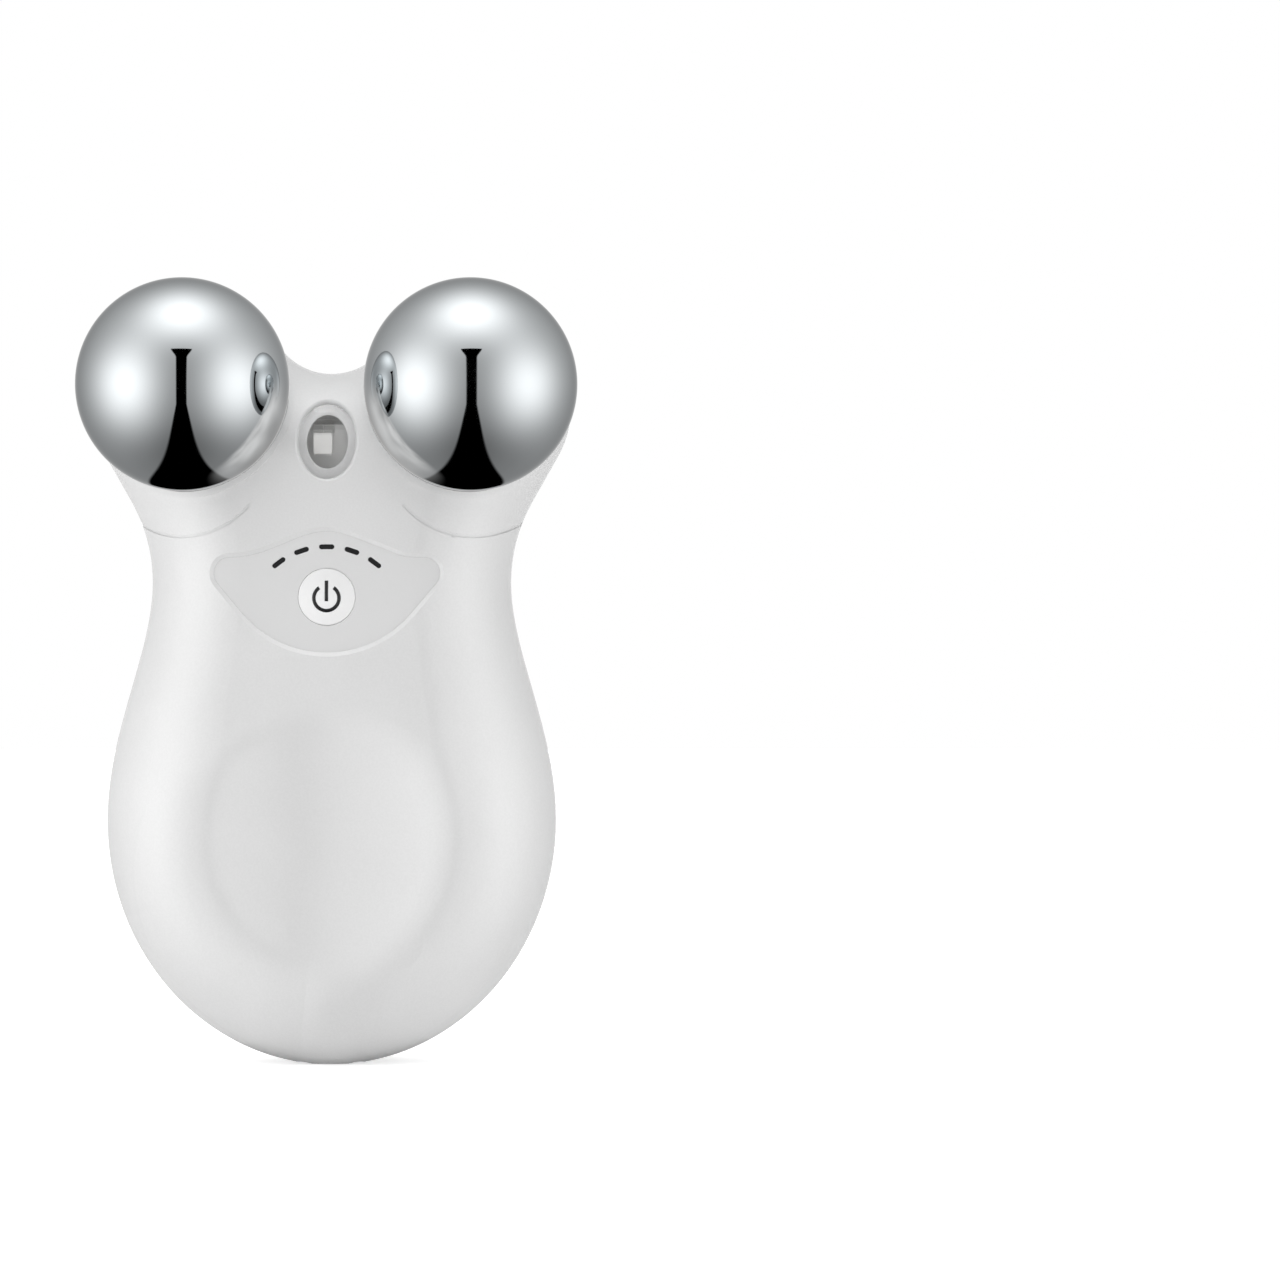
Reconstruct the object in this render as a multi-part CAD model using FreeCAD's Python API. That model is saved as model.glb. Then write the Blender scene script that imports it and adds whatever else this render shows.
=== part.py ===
import FreeCAD, Part
import math
import os

# Face massager with two fixed chrome ball electrodes, standing upright as a hand holds it.
# X is to the right seen from the front, the front faces -Y, Z runs up along the length.
# The origin is the middle of the grip: on the parting plane, level with the widest belly.
# All sizes are in millimetres.

V = FreeCAD.Vector

# Housing outline, seen from the front (half widths)
BELLY_HALF_W = 28.8
TAIL_LENGTH = 31.4
WAIST_HALF_W = 23.0
WAIST_Z = 30.5
WAIST_ARC_SHARE = 0.877
ARM_X = 17.55
ARM_Z = 53.2
ARM_RADIUS = 13.2
SADDLE_Z = 57.3

# Housing depth, seen from the side
HEAD_HALF_T = 12.75
SIDE_BAND_HALF = 0.6
FRONT_BULGE = 2.25
REAR_BULGE = 1.75
BULGE_Z = -5.0
BELLY_CORNER = 15.0
FRONT_TAIL_POWER = 3.2
REAR_TAIL_POWER = 6
TAIL_END_ANGLE = 81.5
TAIL_STEPS = 8
BELLY_STEPS = 7
SECTION_CORNER_SHARE = 0.97

# Shells
WALL = 2.0
TONGUE_HEIGHT = 1.0
TONGUE_INSET = 1.1
TONGUE_GAP = 0.1
SEAM_HALF_W = 0.12
SEAM_DEPTH = 0.25

# Fine lines around the foot of each arm
ARM_SEAM_W = 0.4
ARM_SEAM_DEPTH = 0.15
FRONT_SEAM_X = 18.3
FRONT_SEAM_Z = 47.4
FRONT_SEAM_RADIUS = 11.2
FRONT_SEAM_START = -140.0
FRONT_SEAM_END = -45.0
REAR_SEAM_RADIUS = 13.7
REAR_SEAM_START = -176.0
REAR_SEAM_END = -95.0

# Thumb dish in the front of the belly
DISH_DEPTH = 2.8
DISH_SIDE_MARGIN = 11.8
DISH_TOP_Z = 17.5
DISH_TAIL_MARGIN = 6.9
DISH_ROUND = 12.0
DISH_RIM_RADIUS = 12.0

# Ball electrodes and the cups that hold them
BALL_DIA = 27.0
BALL_X = 18.2
BALL_Y = -13.0
BALL_Z = 55.4
BALL_WALL = 1.2
BALL_BOSS_DIA = 7.0
BALL_BOSS_LENGTH = 10.0
CUP_GAP = 0.12
CUP_WALL = 1.6
CUP_PAD_DIA = 9.0
CUP_PAD_Y = 3.0
LIP_WIDTH = 0.75
LIP_HEIGHT = 0.3
BALL_SCREW_DIA = 3.0
BALL_SCREW_LENGTH = 9.0
BALL_SCREW_HEAD_DIA = 5.5
BALL_SCREW_HEAD_H = 2.0
SCREW_FIT = 0.05
PILOT_REST = 0.5
SCREW_HEAD_ROUND_SHARE = 0.4
CROSS_W_SHARE = 0.16
CROSS_DEPTH_SHARE = 0.45
CROSS_REACH_SHARE = 0.34
TERMINAL_DIA = 6.5
TERMINAL_T = 0.4
TERMINAL_TAIL_W = 2.4
TERMINAL_TAIL_LENGTH = 9.0
TERMINAL_TAIL_TURN = 35.0

# Control panel in the waist
PANEL_RECESS = 0.36
PANEL_T = 0.7
PANEL_GAP = 0.015
PANEL_RIM_W = 0.55
PANEL_RIM_DROP = 0.3
PANEL_HALF_W = 14.3
PANEL_BOTTOM_Z = 21.55
PANEL_LOW_RADIUS = 14.0
PANEL_SHOULDER_Z = 33.55
PANEL_CORNER = 2.0
PANEL_DIP_X = 8.4
PANEL_DIP_Z = 34.15
PANEL_RISE_X = 4.7
PANEL_RISE_Z = 35.6
PANEL_TOP_Z = 36.85

# Power button and its switch
BUTTON_DIA = 7.2
BUTTON_Z = 28.55
BUTTON_GAP = 0.05
BUTTON_EDGE_ROUND = 0.15
BUTTON_PROUD = 0.05
BUTTON_DOME = 0.7
BUTTON_FLANGE_DIA = 9.0
BUTTON_FLANGE_T = 0.8
BUTTON_FLANGE_Y = -10.4
BUTTON_STEM_DIA = 3.2
BUTTON_TRAVEL = 0.35
SWITCH_W = 6.0
SWITCH_H = 3.1
PLUNGER_DIA = 3.4
PLUNGER_PROUD = 0.7
PLUNGER_DEPTH = 0.6
PLUNGER_GAP = 0.2

# Row of indicator slots over the button, on an arc
SLOT_ARC_RADIUS = 10.1
SLOT_ARC_Z = 24.78
SLOT_STEP = 18.4
SLOT_COUNT = 5
SLOT_LENGTH = 1.95
SLOT_WIDTH = 0.65
PIPE_FIT = 0.02
PIPE_CARRIER_W = 2.4
PIPE_CARRIER_T = 1.0
PIPE_CARRIER_END = 7.0
PIPE_FOOT = 2.5
INDICATOR_LED = (1.6, 0.6, 0.8)

# Light window between the balls
WINDOW_HALF_W = 3.62
WINDOW_HALF_H = 4.75
WINDOW_Z = 48.25
WINDOW_RECESS = 0.45
WINDOW_T = 1.0
WINDOW_GLUE_T = 0.05
WINDOW_SIDE_LEDGE = 1.0
WINDOW_END_LEDGE = 1.3
WINDOW_RIM_ROUND = 0.4
WINDOW_GAP = 0.05
LIGHT_BOARD_HALF_W = 4.2
LIGHT_BOARD_Y = -8.0
LIGHT_BOARD_T = 1.0
LIGHT_BOARD_LOW = 42.0
LIGHT_BOARD_HIGH = 50.5
LIGHT_REST_H = 1.4
LIGHT_CHIP = (2.33, 1.6, 2.63)
LIGHT_CHIP_X = -0.66
LIGHT_CHIP_Z = 48.04
LIGHT_CHIP_CORNER = 0.2
LIGHT_RESISTOR = (1.35, 0.4, 0.9)
LIGHT_RESISTOR_X = 0.72
LIGHT_RESISTOR_INSET = 0.55

# Main board and what stands on it
BOARD_Y = -5.5
BOARD_T = 1.0
BOARD_HALF_W = 13.0
BOARD_TAIL_HALF_W = 6.0
BOARD_TAIL_MARGIN = 3.55
BOARD_TAIL_LENGTH = 7.5
BOARD_NECK_LENGTH = 3.0
BOARD_HIGH = 38.0
CHIP_SIZE = (7.0, 0.9, 7.0)
CHIP_Z = 18.0
COIL_DIA = 5.6
COIL_H = 2.6
COIL_CORE_SHARE = 0.8
COIL_WINDING_SHARE = 0.5
COIL_X = -7.0
COIL_Z = 6.0
CAPACITOR = (1.6, 0.9, 0.9)
CAPACITOR_X = 6.5
CAPACITOR_Z = 3.0
CAPACITOR_STEP = 3.0
CAPACITOR_COUNT = 4
BOARD_POST_DIA = 4.6
BOARD_POST_X = 11.0
BOARD_POST_Z = 25.0
BOARD_SCREW_DIA = 2.0
BOARD_SCREW_LENGTH = 5.0
BOARD_SCREW_HEAD_DIA = 3.6
BOARD_SCREW_HEAD_H = 1.3

# Charging socket in the tail
SOCKET_W = 8.94
SOCKET_H = 3.26
SOCKET_LENGTH = 7.35
SOCKET_WALL = 0.3
SOCKET_FIT = 0.1
SOCKET_RECESS = 0.15
SOCKET_SIDE_FLAT = 0.05
SOCKET_FOOT = (1.2, 1.6)
SOCKET_FOOT_X = 2.6
SOCKET_FOOT_SETBACK = 1.8
TONGUE_W = 6.7
TONGUE_T = 0.7
TONGUE_LENGTH = 5.4
SOCKET_BACK_T = 1.2

# Battery
BATTERY_HALF_W = 10.0
BATTERY_T = 6.0
BATTERY_LOW = -8.0
BATTERY_HIGH = 26.0
BATTERY_ROUND = 1.5
TAPE_HALF_W = 8.0
TAPE_T = 0.7
TAPE_LOW = -6.0
TAPE_HIGH = 8.0

# Polished contact plate on the back
PLATE_HALF_W = 13.6
PLATE_TOP_Z = 10.35
PLATE_TAIL_MARGIN = 6.45
PLATE_FACE_Y = 13.6
PLATE_T = 0.6
PLATE_GAP = 0.2
PLATE_EDGE = 0.25
ADHESIVE_T = 0.2
ADHESIVE_MARGIN = 0.8
PAD_MARGIN = 1.6
PAD_T = 1.5
STUD_DIA = 3.0
STUD_END_Y = 9.8
STUD_DROP = 13.7
STUD_GAP = 0.3
PIN_BARREL_DIA = 2.4
PIN_BARREL_LENGTH = 7.5
PIN_TIP_DIA = 1.4

# Two housing screws hidden under the plate
SCREW_X = 8.5
SCREW_DROP = 7.7
SCREW_DIA = 2.0
SCREW_LENGTH = 7.0
SCREW_HEAD_DIA = 4.0
SCREW_HEAD_H = 1.4
SCREW_SEAT_Y = 11.0
SCREW_SEAT_GAP = 0.3
SCREW_CLEAR = 0.2
BOSS_DIA = 5.5
BOSS_FOOT_DIA = 7.5
BOSS_MEET_Y = 9.3
BOSS_GAP = 0.15

# Leads
LEAD_DIA = 0.9
LEAD_BEND = 1.6
LEAD_LOOP = 3.0
BALL_LEAD_X = 10.0
BALL_LEAD_Z = 35.5
LIGHT_LEAD_X = 2.0
LIGHT_LEAD_Z = 36.5
BATTERY_LEAD_X = 3.0

FAR = 80.0
TOUCH = 1e-4
ARM_IN = WAIST_HALF_W - ARM_X
ARM_UP = ARM_Z - WAIST_Z
# The largest waist arc is the one that runs straight into the arm's round end, with no flank between.
WAIST_ARC_LIMIT = (ARM_IN ** 2 + ARM_UP ** 2 - ARM_RADIUS ** 2) / (2 * (ARM_RADIUS - ARM_IN))
WAIST_RADIUS = WAIST_ARC_SHARE * WAIST_ARC_LIMIT
DISH_HALF_W = BELLY_HALF_W - DISH_SIDE_MARGIN
DISH_LOW_Z = DISH_TAIL_MARGIN - TAIL_LENGTH
DISH_HALF_H = (DISH_TOP_Z - DISH_LOW_Z) / 2
DISH_Z = (DISH_TOP_Z + DISH_LOW_Z) / 2
BOARD_BACK_Y = BOARD_Y + BOARD_T
BALL_RADIUS = BALL_DIA / 2
CUP_RADIUS = BALL_RADIUS + CUP_GAP + CUP_WALL
PLATE_LOW_Z = PLATE_TAIL_MARGIN - TAIL_LENGTH
PLATE_HALF_H = (PLATE_TOP_Z - PLATE_LOW_Z) / 2
PLATE_Z = (PLATE_TOP_Z + PLATE_LOW_Z) / 2
STUD_Z = PLATE_Z - STUD_DROP
SCREW_Z = PLATE_Z - SCREW_DROP
PLATE_BACK_Y = PLATE_FACE_Y - PLATE_T
PLATE_FLOOR_Y = PLATE_BACK_Y - ADHESIVE_T
PAD_Y = PLATE_FLOOR_Y - PAD_T
SOCKET_Y = BOARD_BACK_Y + SOCKET_FIT + SOCKET_H / 2
TAIL_Z = -TAIL_LENGTH * math.sin(math.radians(TAIL_END_ANGLE))
SOCKET_MOUTH_Z = TAIL_Z + SOCKET_RECESS
BOARD_LOW = TAIL_Z + BOARD_TAIL_MARGIN
BOARD_NECK_LOW = BOARD_LOW + BOARD_TAIL_LENGTH
BOARD_NECK_HIGH = BOARD_NECK_LOW + BOARD_NECK_LENGTH
BALL_BACK_Y = BALL_Y + BALL_RADIUS


def box(x0, x1, y0, y1, z0, z1):
    return Part.makeBox(x1 - x0, y1 - y0, z1 - z0, V(x0, y0, z0))


def block(size, x, y, z):
    """A box of size (x, y, z) standing on the plane y, on its rear side, centred on x and z."""
    return box(x - size[0] / 2, x + size[0] / 2, y, y + size[1], z - size[2] / 2, z + size[2] / 2)


def rod(dia, x, z, y0, y1):
    """A round rod along Y."""
    return Part.makeCylinder(dia / 2, y1 - y0, V(x, y0, z), V(0, 1, 0))


def ball(radius, side):
    return Part.makeSphere(radius, V(side * BALL_X, BALL_Y, BALL_Z))


def oval(half_w, half_h, z, y0, y1):
    """An elliptical prism along Y, taller than it is wide."""
    curve = Part.Ellipse(V(0, y0, z + half_h), V(half_w, y0, z), V(0, y0, z))
    return Part.Face(Part.Wire(curve.toShape())).extrude(V(0, y1 - y0, 0))


def mirrored(shape):
    return shape.mirror(V(0, 0, 0), V(1, 0, 0))


def both_sides(shape):
    return Part.makeCompound([shape, mirrored(shape)])


def swing(point):
    """The point on the other side of the middle plane."""
    return V(-point.x, point.y, point.z)


def on_circle(centre, radius, angle):
    return centre + V(math.cos(angle), 0, math.sin(angle)) * radius


def ring_sector(centre, radius, width, start, end, y0, y1):
    """A piece of a flat ring about a Y axis, between two angles in degrees."""
    a0, a1 = math.radians(start), math.radians(end)
    middle = (a0 + a1) / 2
    inner, outer = radius - width / 2, radius + width / 2
    centre = V(centre.x, y0, centre.z)
    rim = [on_circle(centre, outer, a) for a in (a0, middle, a1)]
    hole = [on_circle(centre, inner, a) for a in (a0, middle, a1)]
    curves = [
        Part.Arc(rim[0], rim[1], rim[2]),
        Part.LineSegment(rim[2], hole[2]),
        Part.Arc(hole[2], hole[1], hole[0]),
        Part.LineSegment(hole[0], rim[0]),
    ]
    return Part.Face(Part.Wire([c.toShape() for c in curves])).extrude(V(0, y1 - y0, 0))


def head_form(inset):
    """The fork above the waist: a rounded slab whose outline is made of tangent arcs."""
    waist_w = WAIST_HALF_W - inset
    waist_r = WAIST_RADIUS + inset
    arm_r = ARM_RADIUS - inset
    half_t = HEAD_HALF_T - inset
    rise = SADDLE_Z - inset - ARM_Z
    saddle_r = (ARM_X ** 2 + rise ** 2 - arm_r ** 2) / (2 * (arm_r - rise))
    waist_c = V(waist_w + waist_r, -half_t, WAIST_Z)
    arm_c = V(ARM_X, -half_t, ARM_Z)
    saddle_c = V(0, -half_t, SADDLE_Z - inset + saddle_r)
    # A straight flank touches the waist arc from outside and the arm's round end from inside.
    reach = arm_c - waist_c
    flank = math.atan2(reach.z, reach.x) - math.asin((waist_r + arm_r) / reach.Length)
    outward = flank - math.pi / 2
    start = V(waist_w, -half_t, WAIST_Z)
    waist_mid = on_circle(waist_c, waist_r, (outward + 2 * math.pi) / 2)
    waist_end = on_circle(waist_c, waist_r, outward + math.pi)
    arm_start = on_circle(arm_c, arm_r, outward)
    inner = saddle_c - arm_c
    inward = math.atan2(inner.z, inner.x)
    arm_mid = on_circle(arm_c, arm_r, (outward + inward) / 2)
    arm_end = on_circle(arm_c, arm_r, inward)
    saddle_low = saddle_c - V(0, 0, saddle_r)
    curves = [
        Part.Arc(start, waist_mid, waist_end),
        Part.LineSegment(waist_end, arm_start),
        Part.Arc(arm_start, arm_mid, arm_end),
        Part.Arc(arm_end, saddle_low, swing(arm_end)),
        Part.Arc(swing(arm_end), swing(arm_mid), swing(arm_start)),
        Part.LineSegment(swing(arm_start), swing(waist_end)),
        Part.Arc(swing(waist_end), swing(waist_mid), swing(start)),
        Part.LineSegment(swing(start), start),
    ]
    slab = Part.Face(Part.Wire([c.toShape() for c in curves])).extrude(V(0, 2 * half_t, 0))
    rims = [e for e in slab.Edges if e.BoundBox.YLength < TOUCH and e.BoundBox.ZMax > WAIST_Z + TOUCH]
    return slab.makeFillet(half_t - SIDE_BAND_HALF, rims)


def belly_point(t):
    """Half width and level on the curve from belly (t = 0) to waist (t = 1)."""
    drop = BELLY_HALF_W - WAIST_HALF_W
    low_pull = math.sqrt(2 / 3 * drop * TAIL_LENGTH ** 2 / BELLY_HALF_W)
    high_pull = math.sqrt(2 / 3 * drop * WAIST_RADIUS)
    shares = ((1 - t) ** 3, 3 * t * (1 - t) ** 2, 3 * t ** 2 * (1 - t), t ** 3)
    widths = (BELLY_HALF_W, BELLY_HALF_W, WAIST_HALF_W, WAIST_HALF_W)
    levels = (0.0, low_pull, WAIST_Z - high_pull, WAIST_Z)
    width = sum(s * w for s, w in zip(shares, widths))
    level = sum(s * z for s, z in zip(shares, levels))
    return width, level


def belly_depth(z, bulge, power, inset):
    """How far the front or back stands off the parting plane at level z."""
    if z > BULGE_Z:
        share = math.cos(math.pi / 2 * (z - BULGE_Z) / (WAIST_Z - BULGE_Z))
        return HEAD_HALF_T + bulge * share ** 2 - inset
    full = HEAD_HALF_T + bulge - inset
    tail = TAIL_LENGTH - inset
    fade = 1 - (abs(z) / tail) ** power
    fade_start = 1 - (abs(BULGE_Z) / tail) ** power
    return full * (fade / fade_start) ** (1 / power)


def quarter(start, corner, end):
    """An exact quarter of an ellipse that is tangent to both sides of the corner."""
    curve = Part.BSplineCurve()
    curve.buildFromPolesMultsKnots(
        [start, corner, end], [3, 3], [0, 1], False, 2, [1, math.sqrt(0.5), 1])
    return curve.toShape()


def belly_section(z, half_w, inset):
    front = belly_depth(z, FRONT_BULGE, FRONT_TAIL_POWER, inset)
    rear = belly_depth(z, REAR_BULGE, REAR_TAIL_POWER, inset)
    share = min(1.0, max(0.0, z / WAIST_Z))
    share = share ** 2 * (3 - 2 * share)
    waist_corner = HEAD_HALF_T - SIDE_BAND_HALF
    corner = BELLY_CORNER + (waist_corner - BELLY_CORNER) * share - inset
    flat = half_w - min(corner, SECTION_CORNER_SHARE * half_w)
    right = [
        V(flat, rear, z), V(half_w, rear, z), V(half_w, SIDE_BAND_HALF, z),
        V(half_w, -SIDE_BAND_HALF, z), V(half_w, -front, z), V(flat, -front, z),
    ]
    left = [swing(p) for p in right]
    edges = [
        Part.LineSegment(left[0], right[0]).toShape(),
        quarter(right[0], right[1], right[2]),
        Part.LineSegment(right[2], right[3]).toShape(),
        quarter(right[3], right[4], right[5]),
        Part.LineSegment(right[5], left[5]).toShape(),
        quarter(left[5], left[4], left[3]),
        Part.LineSegment(left[3], left[2]).toShape(),
        quarter(left[2], left[1], left[0]),
    ]
    return Part.Wire(edges)


def belly_form(inset):
    """The body below the waist, lofted through level sections from the tail upward."""
    sections = []
    for step in range(TAIL_STEPS):
        turn = math.radians(TAIL_END_ANGLE * (1 - step / TAIL_STEPS))
        z = -(TAIL_LENGTH - inset) * math.sin(turn)
        sections.append(belly_section(z, (BELLY_HALF_W - inset) * math.cos(turn), inset))
    for step in range(BELLY_STEPS + 1):
        half_w, z = belly_point(step / BELLY_STEPS)
        sections.append(belly_section(z, half_w - inset, inset))
    return Part.makeLoft(sections, True, False)


def housing_form(inset):
    return belly_form(inset).fuse(head_form(inset)).Solids[0]


def arm_seams():
    """Shallow lines around the foot of each arm, on the front and on the back."""
    front = ring_sector(V(FRONT_SEAM_X, 0, FRONT_SEAM_Z), FRONT_SEAM_RADIUS, ARM_SEAM_W,
                        FRONT_SEAM_START, FRONT_SEAM_END, -FAR, 0)
    rear = ring_sector(V(BALL_X, 0, BALL_Z), REAR_SEAM_RADIUS, ARM_SEAM_W,
                       REAR_SEAM_START, REAR_SEAM_END, 0, FAR)
    lines = [line.cut(head_form(ARM_SEAM_DEPTH)) for line in (front, rear)]
    return lines + [mirrored(line) for line in lines]


def dish_tool(grow):
    """The ellipsoid that hollows the thumb dish."""
    crest = belly_depth(DISH_Z, FRONT_BULGE, FRONT_TAIL_POWER, 0)
    spread = math.sqrt(1 - ((DISH_ROUND - DISH_DEPTH) / DISH_ROUND) ** 2)
    scale = FreeCAD.Matrix()
    scale.scale(DISH_HALF_W / spread + grow, DISH_ROUND + grow, DISH_HALF_H / spread + grow)
    tool = Part.makeSphere(1.0).transformGeometry(scale)
    tool.translate(V(0, DISH_DEPTH - DISH_ROUND - crest, DISH_Z))
    return tool


def dished(form):
    """The form with the dish cut in and its rim rounded over."""
    cut = form.cut(dish_tool(0)).Solids[0]
    deepest = V(0, DISH_DEPTH - belly_depth(DISH_Z, FRONT_BULGE, FRONT_TAIL_POWER, 0), DISH_Z)
    floor = min(cut.Faces, key=lambda f: f.distToShape(Part.Vertex(deepest))[0])
    return cut.makeFillet(DISH_RIM_RADIUS, floor.Edges).Solids[0]


def panel_prism(grow):
    """The shield-shaped outline of the control panel, through the front wall."""
    corner_c = V(PANEL_HALF_W - PANEL_CORNER, 0, PANEL_SHOULDER_Z - PANEL_CORNER)
    low_c = V(0, 0, PANEL_BOTTOM_Z + PANEL_LOW_RADIUS)
    corner_r = PANEL_CORNER + grow
    low_r = PANEL_LOW_RADIUS + grow
    shoulder = PANEL_SHOULDER_Z + grow
    # A straight flank touches the bottom arc and the corner arc from outside.
    reach = corner_c - low_c
    out = math.atan2(reach.z, reach.x) - math.acos((PANEL_LOW_RADIUS - PANEL_CORNER) / reach.Length)
    top = [
        V(-corner_c.x, 0, shoulder),
        V(-PANEL_DIP_X, 0, PANEL_DIP_Z + grow),
        V(-PANEL_RISE_X, 0, PANEL_RISE_Z + grow),
        V(0, 0, PANEL_TOP_Z + grow),
        V(PANEL_RISE_X, 0, PANEL_RISE_Z + grow),
        V(PANEL_DIP_X, 0, PANEL_DIP_Z + grow),
        V(corner_c.x, 0, shoulder),
    ]
    brow = Part.BSplineCurve()
    brow.interpolate(Points=top, InitialTangent=V(1, 0, 0), FinalTangent=V(1, 0, 0))
    bend = on_circle(corner_c, corner_r, (out + math.pi / 2) / 2)
    side = on_circle(corner_c, corner_r, out)
    low_side = on_circle(low_c, low_r, out)
    low = V(0, 0, PANEL_BOTTOM_Z - grow)
    curves = [
        brow,
        Part.Arc(top[-1], bend, side),
        Part.LineSegment(side, low_side),
        Part.Arc(low_side, low, swing(low_side)),
        Part.LineSegment(swing(low_side), swing(side)),
        Part.Arc(swing(side), swing(bend), top[0]),
    ]
    return Part.Face(Part.Wire([c.toShape() for c in curves])).extrude(V(0, -FAR, 0))


def panel_pocket():
    return panel_prism(PANEL_GAP).cut(housing_form(PANEL_RECESS + PANEL_T))


def window_prism(grow):
    return oval(WINDOW_HALF_W + grow, WINDOW_HALF_H + grow, WINDOW_Z, -FAR, 0)


def window_pocket():
    return window_prism(WINDOW_GAP).cut(housing_form(WINDOW_RECESS + WINDOW_T + WINDOW_GLUE_T))


def rim_edges(solid, prism, skin):
    """The edges of the solid where the wall of the prism breaks through the skin."""
    found = []
    for edge in solid.Edges:
        middle = Part.Vertex(edge.valueAt((edge.FirstParameter + edge.LastParameter) / 2))
        if middle.distToShape(prism.Shells[0])[0] < TOUCH and middle.distToShape(skin.Shells[0])[0] < TOUCH:
            found.append(edge)
    return found


def pocketed(form, skin):
    """The form with the pockets for the panel, whose rim slopes, and the window, whose rim is rounded."""
    cut = form.cut([panel_pocket(), window_pocket()]).Solids[0]
    cut = cut.makeChamfer(PANEL_RIM_W, PANEL_RIM_DROP, rim_edges(cut, panel_prism(PANEL_GAP), skin)).Solids[0]
    return cut.makeFillet(WINDOW_RIM_ROUND, rim_edges(cut, window_prism(WINDOW_GAP), skin)).Solids[0]


def slot_places():
    """Angle, X and Z of each indicator slot."""
    for index in range(SLOT_COUNT):
        angle = (index - (SLOT_COUNT - 1) / 2) * SLOT_STEP
        turn = math.radians(angle)
        yield angle, SLOT_ARC_RADIUS * math.sin(turn), SLOT_ARC_Z + SLOT_ARC_RADIUS * math.cos(turn)


def slot_bar(angle, x, z, shrink, y0, y1):
    """One indicator slot as a bar with round ends, along Y."""
    half = (SLOT_LENGTH - SLOT_WIDTH) / 2
    radius = SLOT_WIDTH / 2 - shrink
    ends = [
        (-half, -radius), (half, -radius), (half + radius, 0),
        (half, radius), (-half, radius), (-half - radius, 0),
    ]
    p = [V(a, y0, b) for a, b in ends]
    edges = [
        Part.LineSegment(p[0], p[1]).toShape(),
        Part.Arc(p[1], p[2], p[3]).toShape(),
        Part.LineSegment(p[3], p[4]).toShape(),
        Part.Arc(p[4], p[5], p[0]).toShape(),
    ]
    bar = Part.Face(Part.Wire(edges)).extrude(V(0, y1 - y0, 0))
    bar.rotate(V(0, 0, 0), V(0, 1, 0), angle)
    bar.translate(V(x, 0, z))
    return bar


def lead(points):
    """A round wire through the points, with bent corners."""
    edges = []
    start = points[0]
    for before, corner, after in zip(points, points[1:], points[2:]):
        come = (before - corner).normalize()
        go = (after - corner).normalize()
        half = come.getAngle(go) / 2
        back = LEAD_BEND / math.tan(half)
        first = corner + come * back
        last = corner + go * back
        middle = (come + go).normalize()
        centre = corner + middle * (LEAD_BEND / math.sin(half))
        edges.append(Part.LineSegment(start, first).toShape())
        edges.append(Part.Arc(first, centre - middle * LEAD_BEND, last).toShape())
        start = last
    edges.append(Part.LineSegment(start, points[-1]).toShape())
    path = Part.Wire(edges)
    circle = Part.Circle(points[0], points[1] - points[0], LEAD_DIA / 2)
    return path.makePipeShell([Part.Wire(circle.toShape())], True, False)


def socket_prism(grow, z0, z1):
    """The charging socket's outline with round short sides, along Z."""
    width = SOCKET_W + 2 * grow
    height = SOCKET_H + 2 * grow
    bar = box(-width / 2, width / 2, SOCKET_Y - height / 2, SOCKET_Y + height / 2, z0, z1)
    long_edges = [e for e in bar.Edges if e.BoundBox.ZLength > (z1 - z0) / 2]
    return bar.makeFillet(height / 2 - SOCKET_SIDE_FLAT, long_edges)


def screw(dia, length, head_dia, head_h, x, z, seat_y):
    """A cross-head screw that points to -Y, with its head on the rear side of seat_y."""
    top = seat_y + head_h
    head = rod(head_dia, x, z, seat_y, top)
    rim = [e for e in head.Edges if e.BoundBox.YMin > top - 1e-6]
    head = head.makeFillet(head_h * SCREW_HEAD_ROUND_SHARE, rim)
    width = head_dia * CROSS_W_SHARE
    reach = 2 * head_dia * CROSS_REACH_SHARE
    depth = head_h * CROSS_DEPTH_SHARE
    bars = [block(size, x, top - depth, z) for size in ((reach, depth, width), (width, depth, reach))]
    return head.cut(bars).fuse(rod(dia, x, z, seat_y - length, seat_y)).removeSplitter()


def front_boss(side):
    """A screw post of the front shell: its foot carries the main board."""
    foot = rod(BOSS_FOOT_DIA, side * SCREW_X, SCREW_Z, -FAR, BOARD_Y)
    return foot.fuse(rod(BOSS_DIA, side * SCREW_X, SCREW_Z, -FAR, BOSS_MEET_Y))


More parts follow.
